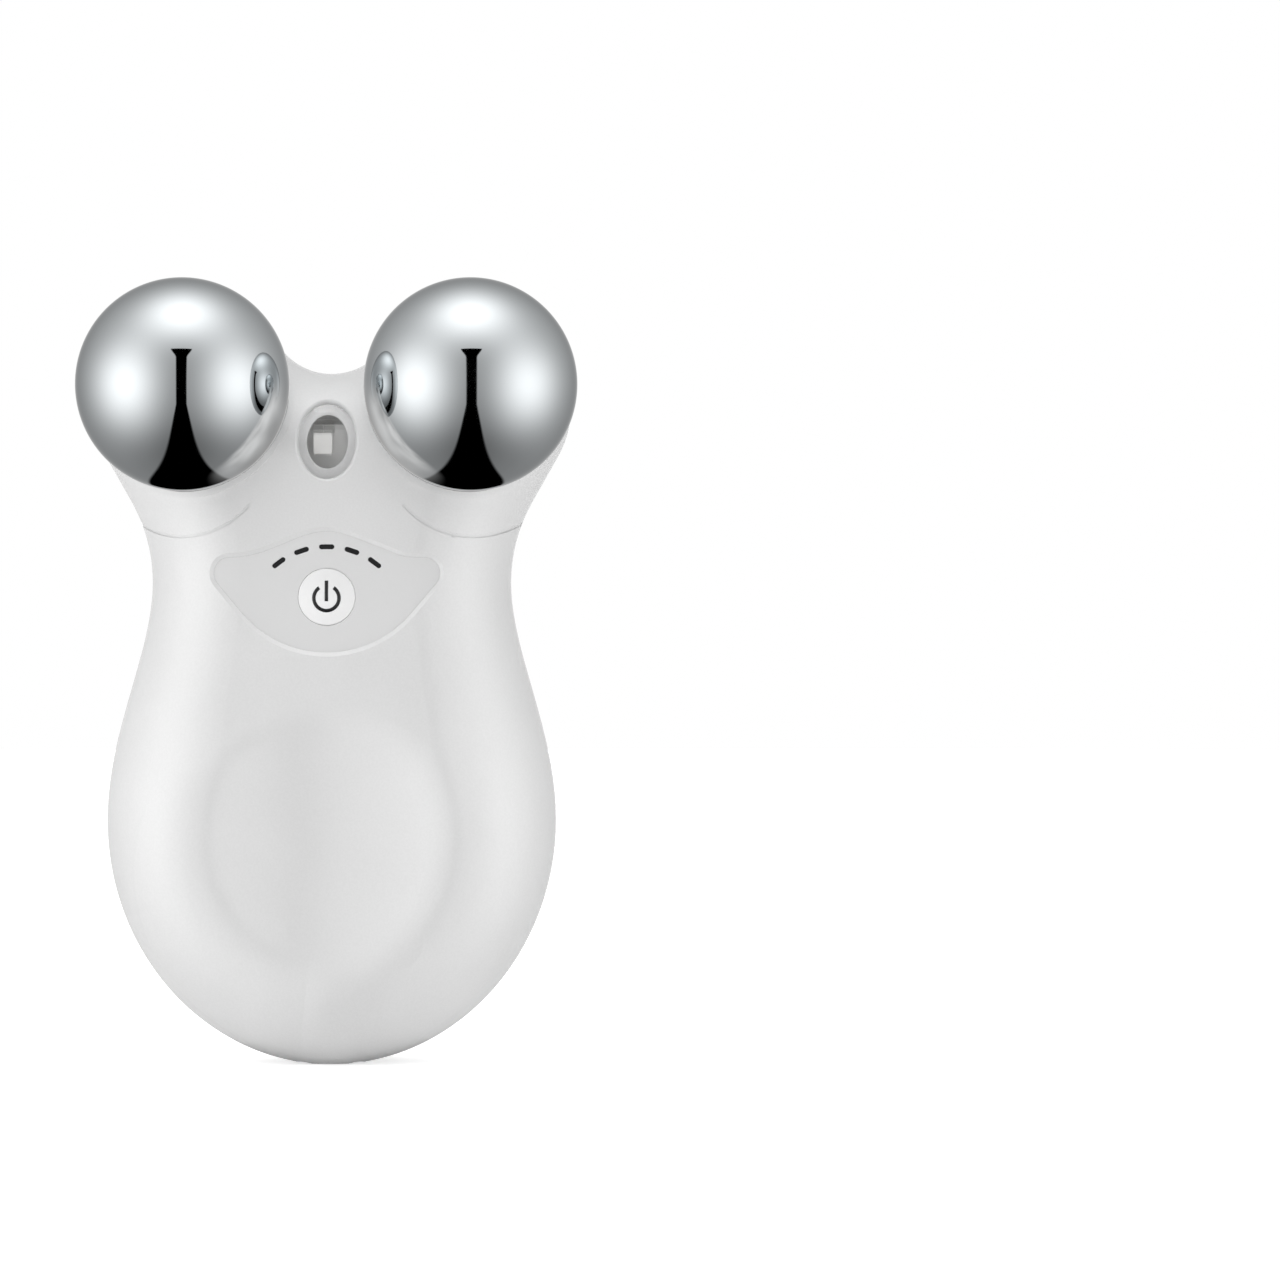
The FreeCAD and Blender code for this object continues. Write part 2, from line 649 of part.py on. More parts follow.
def front_shell(outer, cavity, seam):
    shell = outer.cut(cavity)
    shell = shell.common(box(-FAR, FAR, -FAR, 0, -FAR, FAR))
    groove = housing_form(TONGUE_INSET - TONGUE_GAP)
    shell = shell.cut(groove.common(box(-FAR, FAR, -TONGUE_HEIGHT - TONGUE_GAP, 0, -FAR, FAR)))
    posts = []
    for side in (1, -1):
        cup = ball(CUP_RADIUS, side).common(outer)
        pad = rod(CUP_PAD_DIA, side * BALL_X, BALL_Z, BALL_BACK_Y, CUP_PAD_Y)
        posts += [cup, pad, front_boss(side).common(outer)]
        posts.append(rod(BOARD_POST_DIA, side * BOARD_POST_X, BOARD_POST_Z, -FAR, BOARD_Y).common(outer))
    rest = box(-LIGHT_BOARD_HALF_W, LIGHT_BOARD_HALF_W, -FAR, LIGHT_BOARD_Y,
               LIGHT_BOARD_LOW - LIGHT_REST_H / 2, LIGHT_BOARD_LOW + LIGHT_REST_H / 2)
    posts.append(rest.common(outer))
    shell = shell.fuse(posts)
    cuts = [seam]
    for side in (1, -1):
        cuts.append(ball(BALL_RADIUS + CUP_GAP, side))
        cuts.append(rod(BALL_SCREW_DIA + 2 * SCREW_CLEAR, side * BALL_X, BALL_Z, BALL_Y, FAR))
        cuts.append(rod(SCREW_DIA + 2 * SCREW_FIT, side * SCREW_X, SCREW_Z,
                        SCREW_SEAT_Y - SCREW_LENGTH - PILOT_REST, FAR))
        cuts.append(rod(BOARD_SCREW_DIA + 2 * SCREW_FIT, side * BOARD_POST_X, BOARD_POST_Z,
                        BOARD_BACK_Y - BOARD_SCREW_LENGTH - PILOT_REST, FAR))
    cuts.append(rod(BUTTON_DIA + 2 * BUTTON_GAP, 0, BUTTON_Z, -FAR, BUTTON_FLANGE_Y))
    cuts += [slot_bar(a, x, z, 0, -FAR, BUTTON_FLANGE_Y) for a, x, z in slot_places()]
    cuts.append(oval(WINDOW_HALF_W - WINDOW_SIDE_LEDGE, WINDOW_HALF_H - WINDOW_END_LEDGE, WINDOW_Z,
                     -FAR, LIGHT_BOARD_Y))
    cuts.append(socket_prism(SOCKET_FIT, -FAR, 0))
    return shell.cut(cuts).Solids[0]


def rear_shell(outer, cavity, seam):
    shell = outer.cut(cavity)
    shell = shell.common(box(-FAR, FAR, 0, FAR, -FAR, FAR))
    cups = [ball(CUP_RADIUS + TONGUE_GAP, side) for side in (1, -1)]
    tongue = housing_form(TONGUE_INSET).cut([housing_form(WALL)] + cups)
    shell = shell.fuse(tongue.common(box(-FAR, FAR, -TONGUE_HEIGHT, WALL, -FAR, FAR)))
    pad = oval(PLATE_HALF_W + PAD_MARGIN, PLATE_HALF_H + PAD_MARGIN, PLATE_Z, PAD_Y, FAR).common(outer)
    shell = shell.fuse(pad)
    for side in (1, -1):
        shell = shell.fuse(rod(BOSS_FOOT_DIA, side * SCREW_X, SCREW_Z, BOSS_MEET_Y, PLATE_FLOOR_Y))
    cuts = [seam, oval(PLATE_HALF_W + PLATE_GAP, PLATE_HALF_H + PLATE_GAP, PLATE_Z, PLATE_FLOOR_Y, FAR)]
    cuts.append(rod(STUD_DIA + 2 * STUD_GAP, 0, STUD_Z, 0, FAR))
    for side in (1, -1):
        cuts.append(rod(SCREW_HEAD_DIA + 2 * SCREW_SEAT_GAP, side * SCREW_X, SCREW_Z, SCREW_SEAT_Y, FAR))
        cuts.append(rod(SCREW_DIA + 2 * SCREW_CLEAR, side * SCREW_X, SCREW_Z, 0, FAR))
    return shell.cut(cuts).Solids[0]


def ball_electrode(side):
    """A thin hollow ball with a threaded boss at its back."""
    hollow = ball(BALL_RADIUS, side).cut(ball(BALL_RADIUS - BALL_WALL, side))
    boss_end = BALL_BACK_Y - BALL_BOSS_LENGTH
    boss = rod(BALL_BOSS_DIA, side * BALL_X, BALL_Z, boss_end, BALL_BACK_Y)
    hole = rod(BALL_SCREW_DIA + 2 * SCREW_FIT, side * BALL_X, BALL_Z, boss_end + BALL_WALL, BALL_BACK_Y)
    solid = hollow.fuse(boss.common(ball(BALL_RADIUS, side)))
    return solid.cut(hole).removeSplitter().Solids[0]


def ball_screws():
    seat = CUP_PAD_Y + TERMINAL_T
    right = screw(BALL_SCREW_DIA, BALL_SCREW_LENGTH, BALL_SCREW_HEAD_DIA, BALL_SCREW_HEAD_H,
                  BALL_X, BALL_Z, seat)
    return both_sides(right)


def ball_terminals():
    """Ring terminals clamped under the ball screws, each with a tail for its lead."""
    ring = rod(TERMINAL_DIA, BALL_X, BALL_Z, CUP_PAD_Y, CUP_PAD_Y + TERMINAL_T)
    tail = box(BALL_X - TERMINAL_TAIL_W / 2, BALL_X + TERMINAL_TAIL_W / 2, CUP_PAD_Y, CUP_PAD_Y + TERMINAL_T,
               BALL_Z - TERMINAL_TAIL_LENGTH, BALL_Z)
    tail.rotate(V(BALL_X, 0, BALL_Z), V(0, 1, 0), TERMINAL_TAIL_TURN)
    hole = rod(BALL_SCREW_DIA + 2 * SCREW_FIT, BALL_X, BALL_Z, 0, FAR)
    return both_sides(ring.fuse(tail).cut(hole).removeSplitter())


def ball_leads():
    turn = math.radians(TERMINAL_TAIL_TURN)
    reach = TERMINAL_TAIL_LENGTH - TERMINAL_TAIL_W / 2
    x = BALL_X - reach * math.sin(turn)
    z = BALL_Z - reach * math.cos(turn)
    y = CUP_PAD_Y + TERMINAL_T
    loop_y = y + LEAD_LOOP
    route = [
        V(x, y, z), V(x, loop_y, z),
        V(BALL_LEAD_X, loop_y, BALL_LEAD_Z), V(BALL_LEAD_X, BOARD_BACK_Y, BALL_LEAD_Z),
    ]
    return both_sides(lead(route))


def control_panel():
    panel = panel_prism(0).common(housing_form(PANEL_RECESS)).cut(housing_form(PANEL_RECESS + PANEL_T))
    cuts = [rod(BUTTON_DIA + 2 * BUTTON_GAP, 0, BUTTON_Z, -FAR, FAR)]
    cuts += [slot_bar(a, x, z, 0, -FAR, 0) for a, x, z in slot_places()]
    return panel.cut(cuts).Solids[0]


def light_pipe(face_y, wall_y):
    """Five light fingers on one curved carrier behind the wall."""
    half = (SLOT_COUNT - 1) / 2 * SLOT_STEP + PIPE_CARRIER_END
    back_y = wall_y + PIPE_CARRIER_T
    carrier = ring_sector(V(0, 0, SLOT_ARC_Z), SLOT_ARC_RADIUS, PIPE_CARRIER_W,
                          90 - half, 90 + half, wall_y, back_y)
    bars = [slot_bar(a, x, z, PIPE_FIT, face_y, back_y + PIPE_FOOT) for a, x, z in slot_places()]
    return carrier.fuse(bars).removeSplitter().Solids[0]


def power_button(panel_y):
    """A domed cap with a flange behind the wall and a stem on the switch plunger."""
    edge_y = panel_y - BUTTON_PROUD
    radius = BUTTON_DIA / 2
    stem_end = BOARD_Y - SWITCH_H - PLUNGER_PROUD
    flange_back = BUTTON_FLANGE_Y + BUTTON_FLANGE_T
    profile = [
        V(radius, edge_y, 0), V(radius, BUTTON_FLANGE_Y, 0), V(BUTTON_FLANGE_DIA / 2, BUTTON_FLANGE_Y, 0),
        V(BUTTON_FLANGE_DIA / 2, flange_back, 0), V(BUTTON_STEM_DIA / 2, flange_back, 0),
        V(BUTTON_STEM_DIA / 2, stem_end, 0), V(0, stem_end, 0), V(0, edge_y - BUTTON_DOME, 0),
    ]
    dome_r = (radius ** 2 + BUTTON_DOME ** 2) / (2 * BUTTON_DOME)
    half = math.asin(radius / dome_r) / 2
    mid = V(dome_r * math.sin(half), edge_y - BUTTON_DOME + dome_r * (1 - math.cos(half)), 0)
    edges = [Part.LineSegment(a, b).toShape() for a, b in zip(profile, profile[1:])]
    edges.append(Part.Arc(profile[-1], mid, profile[0]).toShape())
    cap = Part.Face(Part.Wire(edges)).revolve(V(0, 0, 0), V(0, 1, 0), 360)
    rim = [e for e in cap.Edges if abs(e.BoundBox.YMax - edge_y) < TOUCH and e.BoundBox.YLength < TOUCH]
    cap = cap.makeFillet(BUTTON_EDGE_ROUND, rim)
    cap.translate(V(0, 0, BUTTON_Z))
    return cap


def switch_body():
    body = block((SWITCH_W, SWITCH_H, SWITCH_W), 0, BOARD_Y - SWITCH_H, BUTTON_Z)
    front = BOARD_Y - SWITCH_H
    depth = PLUNGER_DEPTH + BUTTON_TRAVEL + PLUNGER_GAP
    return body.cut(rod(PLUNGER_DIA + 2 * PLUNGER_GAP, 0, BUTTON_Z, front, front + depth))


def switch_plunger():
    front = BOARD_Y - SWITCH_H
    return rod(PLUNGER_DIA, 0, BUTTON_Z, front - PLUNGER_PROUD, front + PLUNGER_DEPTH)


def light_window():
    lens = window_prism(0).common(housing_form(WINDOW_RECESS))
    return lens.cut(housing_form(WINDOW_RECESS + WINDOW_T)).Solids[0]


def light_board():
    return box(-LIGHT_BOARD_HALF_W, LIGHT_BOARD_HALF_W, LIGHT_BOARD_Y, LIGHT_BOARD_Y + LIGHT_BOARD_T,
               LIGHT_BOARD_LOW - LIGHT_REST_H / 2, LIGHT_BOARD_HIGH)


def light_chip():
    chip = block(LIGHT_CHIP, LIGHT_CHIP_X, LIGHT_BOARD_Y - LIGHT_CHIP[1], LIGHT_CHIP_Z)
    corners = [e for e in chip.Edges if e.BoundBox.YLength > LIGHT_CHIP[1] / 2]
    return chip.makeFillet(LIGHT_CHIP_CORNER, corners)


def light_resistors():
    y = LIGHT_BOARD_Y - LIGHT_RESISTOR[1]
    z = LIGHT_BOARD_HIGH - LIGHT_RESISTOR_INSET
    places = [LIGHT_CHIP_X + step for step in (-LIGHT_RESISTOR_X, LIGHT_RESISTOR_X)]
    return Part.makeCompound([block(LIGHT_RESISTOR, x, y, z) for x in places])


def light_leads():
    y = LIGHT_BOARD_Y + LIGHT_BOARD_T
    top = LIGHT_BOARD_LOW + LIGHT_REST_H
    loop_y = BOARD_BACK_Y + LEAD_LOOP
    places = [(y, top), (loop_y, top), (loop_y, LIGHT_LEAD_Z), (BOARD_BACK_Y, LIGHT_LEAD_Z)]
    return both_sides(lead([V(LIGHT_LEAD_X, place_y, place_z) for place_y, place_z in places]))


def main_board():
    outline = [
        (BOARD_TAIL_HALF_W, BOARD_LOW), (BOARD_TAIL_HALF_W, BOARD_NECK_LOW), (BOARD_HALF_W, BOARD_NECK_HIGH),
        (BOARD_HALF_W, BOARD_HIGH), (-BOARD_HALF_W, BOARD_HIGH), (-BOARD_HALF_W, BOARD_NECK_HIGH),
        (-BOARD_TAIL_HALF_W, BOARD_NECK_LOW), (-BOARD_TAIL_HALF_W, BOARD_LOW),
    ]
    points = [V(x, BOARD_Y, z) for x, z in outline]
    board = Part.Face(Part.makePolygon(points + points[:1])).extrude(V(0, BOARD_T, 0))
    cuts = []
    for side in (1, -1):
        cuts.append(rod(BOSS_DIA + 2 * BOSS_GAP, side * SCREW_X, SCREW_Z, -FAR, FAR))
        cuts.append(rod(BOARD_SCREW_DIA + 2 * SCREW_CLEAR, side * BOARD_POST_X, BOARD_POST_Z, -FAR, FAR))
    return board.cut(cuts)


def indicator_leds():
    y = BOARD_Y - INDICATOR_LED[1]
    return Part.makeCompound([block(INDICATOR_LED, x, y, z) for _, x, z in slot_places()])


def controller_chip():
    return block(CHIP_SIZE, 0, BOARD_BACK_Y, CHIP_Z)


def boost_coil():
    """A drum coil: two flanges with a narrower winding between them."""
    top = BOARD_BACK_Y + COIL_H
    margin = COIL_H * (1 - COIL_WINDING_SHARE) / 2
    low_flange = rod(COIL_DIA, COIL_X, COIL_Z, BOARD_BACK_Y, BOARD_BACK_Y + margin)
    high_flange = rod(COIL_DIA, COIL_X, COIL_Z, top - margin, top)
    winding = rod(COIL_DIA * COIL_CORE_SHARE, COIL_X, COIL_Z, BOARD_BACK_Y, top)
    return winding.fuse([low_flange, high_flange]).removeSplitter().Solids[0]


def board_capacitors():
    places = [CAPACITOR_Z + CAPACITOR_STEP * i for i in range(CAPACITOR_COUNT)]
    return Part.makeCompound([block(CAPACITOR, CAPACITOR_X, BOARD_BACK_Y, z) for z in places])


def board_screws():
    right = screw(BOARD_SCREW_DIA, BOARD_SCREW_LENGTH, BOARD_SCREW_HEAD_DIA, BOARD_SCREW_HEAD_H,
                  BOARD_POST_X, BOARD_POST_Z, BOARD_BACK_Y)
    return both_sides(right)


def charging_socket():
    end = SOCKET_MOUTH_Z + SOCKET_LENGTH
    shell = socket_prism(0, SOCKET_MOUTH_Z, end)
    hollow = socket_prism(-SOCKET_WALL, SOCKET_MOUTH_Z - 1, end + 1)
    hollow_low = SOCKET_Y - SOCKET_H / 2 + SOCKET_WALL
    foot_size = (SOCKET_FOOT[0], hollow_low - BOARD_BACK_Y, SOCKET_FOOT[1])
    foot = block(foot_size, SOCKET_FOOT_X, BOARD_BACK_Y, end - SOCKET_FOOT_SETBACK)
    return shell.fuse([foot, mirrored(foot)]).cut(hollow).removeSplitter().Solids[0]


def socket_tongue():
    end = SOCKET_MOUTH_Z + SOCKET_LENGTH
    back = socket_prism(-SOCKET_WALL, end - SOCKET_BACK_T, end)
    blade = box(-TONGUE_W / 2, TONGUE_W / 2, SOCKET_Y - TONGUE_T / 2, SOCKET_Y + TONGUE_T / 2,
                end - SOCKET_BACK_T - TONGUE_LENGTH, end - SOCKET_BACK_T)
    return back.fuse(blade).removeSplitter()


def battery():
    back = PAD_Y - TAPE_T
    cell = box(-BATTERY_HALF_W, BATTERY_HALF_W, back - BATTERY_T, back, BATTERY_LOW, BATTERY_HIGH)
    return cell.makeFillet(BATTERY_ROUND, [e for e in cell.Edges if e.BoundBox.ZLength > BATTERY_HALF_W])


def battery_tape():
    return box(-TAPE_HALF_W, TAPE_HALF_W, PAD_Y - TAPE_T, PAD_Y, TAPE_LOW, TAPE_HIGH)


def battery_leads():
    y = PAD_Y - TAPE_T - BATTERY_T / 2
    low = BATTERY_LOW - LEAD_LOOP
    places = [(y, BATTERY_LOW), (y, low), (BOARD_BACK_Y, low)]
    return both_sides(lead([V(BATTERY_LEAD_X, place_y, place_z) for place_y, place_z in places]))


def contact_plate():
    plate = oval(PLATE_HALF_W, PLATE_HALF_H, PLATE_Z, PLATE_BACK_Y, PLATE_FACE_Y)
    rim = [e for e in plate.Edges if abs(e.BoundBox.YMin - PLATE_FACE_Y) < 1e-6]
    plate = plate.makeFillet(PLATE_EDGE, rim)
    return plate.fuse(rod(STUD_DIA, 0, STUD_Z, STUD_END_Y, PLATE_BACK_Y)).removeSplitter()


def plate_adhesive():
    film = oval(PLATE_HALF_W - ADHESIVE_MARGIN, PLATE_HALF_H - ADHESIVE_MARGIN, PLATE_Z,
                PLATE_FLOOR_Y, PLATE_BACK_Y)
    cuts = [rod(STUD_DIA + 2 * STUD_GAP, 0, STUD_Z, 0, FAR)]
    cuts += [rod(SCREW_HEAD_DIA + 2 * SCREW_SEAT_GAP, side * SCREW_X, SCREW_Z, 0, FAR) for side in (1, -1)]
    return film.cut(cuts)


def plate_contact_pin():
    barrel_end = BOARD_BACK_Y + PIN_BARREL_LENGTH
    barrel = rod(PIN_BARREL_DIA, 0, STUD_Z, BOARD_BACK_Y, barrel_end)
    return barrel.fuse(rod(PIN_TIP_DIA, 0, STUD_Z, barrel_end, STUD_END_Y)).removeSplitter()


def housing_screws():
    right = screw(SCREW_DIA, SCREW_LENGTH, SCREW_HEAD_DIA, SCREW_HEAD_H, SCREW_X, SCREW_Z, SCREW_SEAT_Y)
    return both_sides(right)


def main():
    skin = housing_form(0)
    raised = head_form(-LIP_HEIGHT)
    lips = [ball(BALL_RADIUS + CUP_GAP + LIP_WIDTH, side).common(raised) for side in (1, -1)]
    outer = pocketed(dished(skin), skin).fuse(lips).cut(arm_seams()).Solids[0]
    cavity = housing_form(WALL).cut(dish_tool(WALL)).Solids[0]
    seam = box(-FAR, FAR, -SEAM_HALF_W, SEAM_HALF_W, -FAR, FAR).cut(housing_form(SEAM_DEPTH))
    button_face_y = -belly_depth(BUTTON_Z, FRONT_BULGE, FRONT_TAIL_POWER, PANEL_RECESS)
    wall_y = WALL - HEAD_HALF_T
    nodes = {
        "front_shell": front_shell(outer, cavity, seam),
        "rear_shell": rear_shell(outer, cavity, seam),
        "right_ball": ball_electrode(1),
        "left_ball": ball_electrode(-1),
        "ball_screws": ball_screws(),
        "ball_terminals": ball_terminals(),
        "ball_leads": ball_leads(),
        "control_panel": control_panel(),
        "light_pipe": light_pipe(button_face_y, wall_y),
        "power_button": power_button(button_face_y),
        "switch_body": switch_body(),
        "switch_plunger": switch_plunger(),
        "light_window": light_window(),
        "light_board": light_board(),
        "light_chip": light_chip(),
        "light_resistors": light_resistors(),
        "light_leads": light_leads(),
        "main_board": main_board(),
        "indicator_leds": indicator_leds(),
        "controller_chip": controller_chip(),
        "boost_coil": boost_coil(),
        "board_capacitors": board_capacitors(),
        "board_screws": board_screws(),
        "charging_socket": charging_socket(),
        "socket_tongue": socket_tongue(),
        "battery": battery(),
        "battery_tape": battery_tape(),
        "battery_leads": battery_leads(),
        "contact_plate": contact_plate(),
        "plate_adhesive": plate_adhesive(),
        "plate_contact_pin": plate_contact_pin(),
        "housing_screws": housing_screws(),
    }
    os.makedirs("parts", exist_ok=True)
    for name, shape in nodes.items():
        shape.exportStep(f"parts/{name}.step")


main()
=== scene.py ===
# %% [markdown]
# # A face massager with two chrome balls
# The housing, balls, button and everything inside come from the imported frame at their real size.
# This lesson gives each of them its finish, prints the symbol on the button, which is too thin for a
# construction model, and sets up the studio in which the object is seen.

# %% Load the frame
import math

import bmesh
import bpy
from mathutils import Matrix, Vector


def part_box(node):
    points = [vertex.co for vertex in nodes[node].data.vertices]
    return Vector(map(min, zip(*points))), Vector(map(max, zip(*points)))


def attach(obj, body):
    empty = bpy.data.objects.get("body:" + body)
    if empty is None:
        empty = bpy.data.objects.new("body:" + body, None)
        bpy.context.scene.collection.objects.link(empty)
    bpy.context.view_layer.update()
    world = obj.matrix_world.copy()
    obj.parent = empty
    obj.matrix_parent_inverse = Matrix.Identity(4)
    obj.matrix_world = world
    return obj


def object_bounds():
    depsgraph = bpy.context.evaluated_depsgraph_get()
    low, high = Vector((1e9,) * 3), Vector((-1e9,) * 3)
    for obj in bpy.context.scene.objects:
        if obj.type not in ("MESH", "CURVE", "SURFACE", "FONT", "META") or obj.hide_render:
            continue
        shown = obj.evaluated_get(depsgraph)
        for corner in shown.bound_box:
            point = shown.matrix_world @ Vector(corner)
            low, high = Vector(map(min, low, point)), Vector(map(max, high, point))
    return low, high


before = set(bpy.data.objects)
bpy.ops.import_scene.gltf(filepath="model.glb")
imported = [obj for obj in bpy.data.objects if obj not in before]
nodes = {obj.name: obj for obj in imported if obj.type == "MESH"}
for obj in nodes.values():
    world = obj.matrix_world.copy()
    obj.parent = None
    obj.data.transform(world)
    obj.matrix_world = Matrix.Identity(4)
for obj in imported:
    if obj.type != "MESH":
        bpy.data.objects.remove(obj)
cad_low, cad_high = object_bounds()
MM = 0.001

# %% [markdown]
# ## Small helpers for finishes
# A finish is a node tree. Writing one by hand is mostly adding a node, setting its sockets and joining
# it to the next, so a few short helpers keep the recipes readable. All patterns read Object coordinates:
# every piece sits at the origin with its place in its mesh, so a pattern keeps its real scale in metres.


# %% Helpers for node trees
def add(tree, kind, inputs=None, **settings):
    """A new node with its settings and its unlinked sockets filled in."""
    made = tree.nodes.new(kind)
    for key, value in settings.items():
        setattr(made, key, value)
    for key, value in (inputs or {}).items():
        made.inputs[key].default_value = value
    return made


def new_finish(name, **sockets):
    """A material with a Principled shader; returns the material, its tree and the shader."""
    material = bpy.data.materials.new(name)
    material.use_nodes = True
    shader = material.node_tree.nodes["Principled BSDF"]
    for key, value in sockets.items():
        shader.inputs[key.replace("_", " ")].default_value = value
    return material, material.node_tree, shader


def noise(tree, feature, detail=2.0):
    """Noise on Object coordinates whose lumps are about feature metres wide."""
    place = add(tree, "ShaderNodeTexCoord")
    made = add(tree, "ShaderNodeTexNoise", {"Scale": 1 / feature, "Detail": detail})
    tree.links.new(place.outputs["Object"], made.inputs["Vector"])
    return made.outputs["Fac"]


def spread(tree, source, low, high):
    """Noise values, which crowd around the middle, spread over a range."""
    made = add(tree, "ShaderNodeMapRange",
               {"From Min": 0.3, "From Max": 0.7, "To Min": low, "To Max": high})
    tree.links.new(source, made.inputs["Value"])
    return made.outputs["Result"]


def tinted(tree, source, low, high):
    """A colour that drifts from low to high with a 0 to 1 value."""
    made = add(tree, "ShaderNodeMix", data_type="RGBA")
    ends = [socket for socket in made.inputs if socket.type == "RGBA"]
    for socket, colour in zip(ends, (low, high)):
        socket.default_value = (*colour, 1)
    tree.links.new(source, made.inputs["Factor"])
    return next(socket for socket in made.outputs if socket.type == "RGBA")


def calc(tree, operation, first, second):
    """A Math node on two values, each a number or a socket."""
    made = add(tree, "ShaderNodeMath", operation=operation)
    for socket, value in zip(made.inputs, (first, second)):
        if isinstance(value, (int, float)):
            socket.default_value = value
        else:
            tree.links.new(value, socket)
    return made.outputs[0]


def grain(tree, shader, feature, depth):
    """A fine texture pressed into the surface: lumps of one size, depth metres deep."""
    bump = add(tree, "ShaderNodeBump", {"Strength": 1.0, "Distance": depth})
    tree.links.new(noise(tree, feature), bump.inputs["Height"])
    tree.links.new(bump.outputs["Normal"], shader.inputs["Normal"])
    return bump


def finished(name, bm, material):
    """A bmesh made into an object at the origin, smooth, with one material."""
    mesh = bpy.data.meshes.new(name)
    bm.to_mesh(mesh)
    bm.free()
    mesh.materials.append(material)
    for face in mesh.polygons:
        face.use_smooth = True
    made = bpy.data.objects.new(name, mesh)
    bpy.context.scene.collection.objects.link(made)
    return made


def scaled(colour, share):
    """A colour made darker by a share."""
    return tuple(c * share for c in colour)


print("helpers ready")

# %% [markdown]
# ## Moulded plastics
# The housing is white plastic with a satin, spark-eroded texture: broad soft highlights and a grain
# that just shows. One recipe serves all moulded pieces, with the colour, gloss and grain as its sizes.


# %% Moulded finishes
SPECKLE = 0.25 * MM
CLOUDS = 12 * MM
GLOSS_PATCH = 6 * MM
GLOSS_DRIFT = 0.02


def moulded(name, colour, roughness, grain_size, grain_depth, drift=0.015, **sockets):
    """A plastic whose colour drifts darker by a share, with its gloss and its pressed grain."""
    material, tree, shader = new_finish(name, **sockets)
    clouds = noise(tree, CLOUDS, 1.0)
    speckle = noise(tree, SPECKLE, 0.0)
    share = calc(tree, "ADD", spread(tree, clouds, 0.0, 0.5), spread(tree, speckle, 0.0, 0.5))
    tree.links.new(tinted(tree, share, scaled(colour, 1 - drift), colour), shader.inputs["Base Color"])
    patches = noise(tree, GLOSS_PATCH, 1.0)
    rough = spread(tree, patches, roughness - GLOSS_DRIFT, roughness + GLOSS_DRIFT)
    tree.links.new(rough, shader.inputs["Roughness"])
    grain(tree, shader, grain_size, grain_depth)
    return material


finishes = {
    "white_shell": moulded("white_shell", (0.77, 0.77, 0.77), 0.23, 0.3 * MM, 0.0015 * MM, 0.05,
                           IOR=1.75, Specular_IOR_Level=1.0),
    "panel_plastic": moulded("panel_plastic", (0.69, 0.69, 0.69), 0.34, 0.3 * MM, 0.001 * MM),
    "button_plastic": moulded("button_plastic", (0.85, 0.85, 0.85), 0.3, 0.3 * MM, 0.001 * MM),
    "dark_lens": moulded("dark_lens", (0.012, 0.012, 0.013), 0.2, 0.5 * MM, 0.001 * MM),
    "light_board_grey": moulded("light_board_grey", (0.80, 0.80, 0.79), 0.5, 0.3 * MM, 0.004 * MM),
    "led_package": moulded("led_package", (0.94, 0.93, 0.91), 0.4, 0.3 * MM, 0.002 * MM),
    "board_green": moulded("board_green", (0.02, 0.16, 0.07), 0.35, 0.4 * MM, 0.01 * MM, 0.25),
    "black_part": moulded("black_part", (0.02, 0.02, 0.02), 0.5, 0.2 * MM, 0.004 * MM, 0.2),
    "resistor_grey": moulded("resistor_grey", (0.42, 0.42, 0.41), 0.5, 0.2 * MM, 0.003 * MM),
    "capacitor_tan": moulded("capacitor_tan", (0.36, 0.24, 0.13), 0.5, 0.2 * MM, 0.003 * MM, 0.15),
    "battery_foil": moulded("battery_foil", (0.42, 0.44, 0.48), 0.3, 2.0 * MM, 0.03 * MM, 0.1),
    "foam_tape": moulded("foam_tape", (0.72, 0.70, 0.62), 0.8, 0.4 * MM, 0.05 * MM, 0.1),
    "lead_insulation": moulded("lead_insulation", (0.35, 0.02, 0.02), 0.4, 0.5 * MM, 0.004 * MM, 0.1),
}
print("moulded finishes:", len(finishes))

# %% [markdown]
# ## Metals
# The balls are mirror chrome. A perfect mirror looks drawn, so the gloss drifts a little, as on a
# piece that has been wiped by hand. The plate on the back is polished too, but a little softer. Bare
# metal mirrors less at its very edge here, which gives the balls their dark outline.


# %% Metal finishes
EDGE_TINT = (0.6, 0.6, 0.6, 1)
STAIN = 9 * MM
STAIN_SHARE = 0.97
WIPE = 4 * MM


def metal(name, colour, gloss, wiped, wave, wave_depth):
    """A metal whose roughness runs from gloss to wiped, with a shallow wave in its surface."""
    material, tree, shader = new_finish(name, Metallic=1.0, Specular_Tint=EDGE_TINT)
    share = spread(tree, noise(tree, STAIN, 4.0), 0.0, 1.0)
    tree.links.new(tinted(tree, share, scaled(colour, STAIN_SHARE), colour), shader.inputs["Base Color"])
    rough = spread(tree, noise(tree, WIPE, 5.0), gloss, wiped)
    tree.links.new(rough, shader.inputs["Roughness"])
    grain(tree, shader, wave, wave_depth)
    return material


finishes.update({
    "ball_chrome": metal("ball_chrome", (0.725, 0.755, 0.77), 0.02, 0.06, 6 * MM, 0.002 * MM),
    "plate_chrome": metal("plate_chrome", (0.85, 0.85, 0.855), 0.12, 0.15, 5 * MM, 0.002 * MM),
    "screw_steel": metal("screw_steel", (0.55, 0.56, 0.58), 0.25, 0.4, 0.3 * MM, 0.004 * MM),
    "socket_steel": metal("socket_steel", (0.62, 0.63, 0.65), 0.2, 0.35, 0.4 * MM, 0.003 * MM),
    "contact_brass": metal("contact_brass", (0.78, 0.58, 0.28), 0.2, 0.35, 0.4 * MM, 0.003 * MM),
})
print("all finishes:", len(finishes))

# %% [markdown]
# ## The clear window
# A clear moulded lens covers the light. Real transmission with the refraction of acrylic shows the
# board behind it and the bright edge where the lens sits in the shell.


